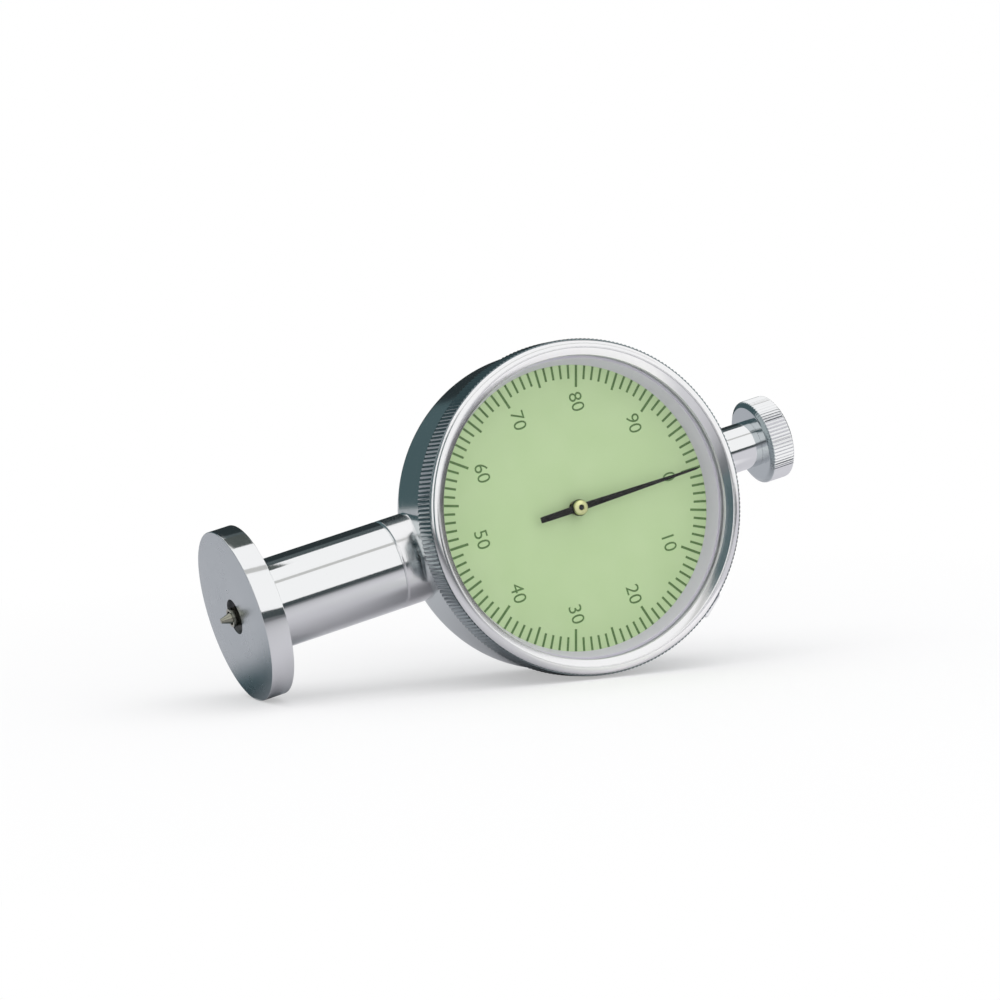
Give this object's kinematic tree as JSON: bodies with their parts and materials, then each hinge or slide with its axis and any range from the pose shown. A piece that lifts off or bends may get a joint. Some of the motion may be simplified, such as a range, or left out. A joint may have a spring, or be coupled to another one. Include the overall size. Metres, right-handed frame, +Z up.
{
  "type": "durometer",
  "caption": "Pocket dial durometer: a sprung point in a round foot moves a hand around a pale green dial, with a knurled bezel, a stem and a fluted knob.",
  "frame": {"origin": "on the floor below the middle of the bounding box, with the instrument lying as in the picture on the knurl of its bezel, the rear edge of its case and the edge of its foot", "axes": "+X toward the knob along the floor, -Y the way the dial faces, +Z up"},
  "size_m": [0.107, 0.0336, 0.0573],
  "materials": {
    "chromed_steel": "polished",
    "steel": "turned",
    "spring_steel": "drawn",
    "brass": "satin",
    "glass": "polished",
    "rubber": "matt",
    "dial_paint": "matt",
    "black_paint": "satin"
  },
  "bodies": {
    "case": {"case_body": "chromed_steel", "rear_cover": "chromed_steel", "cover_screws": "steel", "bezel_wire": "steel", "hairspring": "spring_steel", "hairspring_stud": "brass", "front_plate": "brass", "plate_screws": "steel", "bridge_plate": "brass", "pillars": "brass", "bridge_screws": "steel", "centre_bush": "brass", "lower_bush": "brass", "upper_bush": "brass", "load_spring": "spring_steel", "spring_nut": "brass", "stem_barrel": "chromed_steel", "presser_foot": "chromed_steel", "knob_stud": "chromed_steel", "knob": "chromed_steel", "lock_block": "chromed_steel"},
    "bezel": {"bezel_ring": "chromed_steel", "crystal": "glass", "crystal_gasket": "rubber", "surround_ring": "chromed_steel", "dial_plate": "dial_paint"},
    "hand": {"pointer": "black_paint", "pointer_cap": "brass", "centre_arbor": "steel"},
    "sector": {"sector_gear": "brass", "sector_arbor": "steel"},
    "spindle": {"spindle": "steel", "drive_block": "steel", "drive_pin": "steel", "block_screw": "steel", "indenter": "steel"},
    "lock": {"lock_screw": "steel"}
  },
  "joints": [
    {"name": "indenter_slide", "type": "slide", "parent": "case", "child": "spindle", "axis": [0.9761, 0, 0.2174], "range_m": [0, 0.0025], "stiffness_N_per_m": 17800, "deforming": ["load_spring"]},
    {"name": "hand_turn", "type": "hinge", "parent": "case", "child": "hand", "pos_m": [0.0081, -0.0126, 0.02881], "axis": [0.0204, 0.9956, -0.0918], "range_deg": [-0.5, 360.5], "deforming": ["hairspring"]},
    {"name": "sector_turn", "type": "hinge", "parent": "case", "child": "sector", "pos_m": [-0.0134, -0.00267, 0.02821], "axis": [-0.0204, -0.9956, 0.0918], "range_deg": [-0.2, 28.86]},
    {"name": "bezel_turn", "type": "hinge", "parent": "case", "child": "bezel", "pos_m": [0.0081, -0.0126, 0.02881], "axis": [-0.0204, -0.9956, 0.0918], "continuous": true},
    {"name": "lock_turn", "type": "hinge", "parent": "case", "child": "lock", "pos_m": [0.03113, -0.00771, 0.01072], "axis": [-0.0204, -0.9956, 0.0918], "range_deg": [0, 90]}
  ],
  "couplings": [
    {"joint": "hand_turn", "follows": "indenter_slide", "rad_per_m": 2513.3},
    {"joint": "sector_turn", "follows": "indenter_slide", "rad_per_m": 200.06}
  ]
}
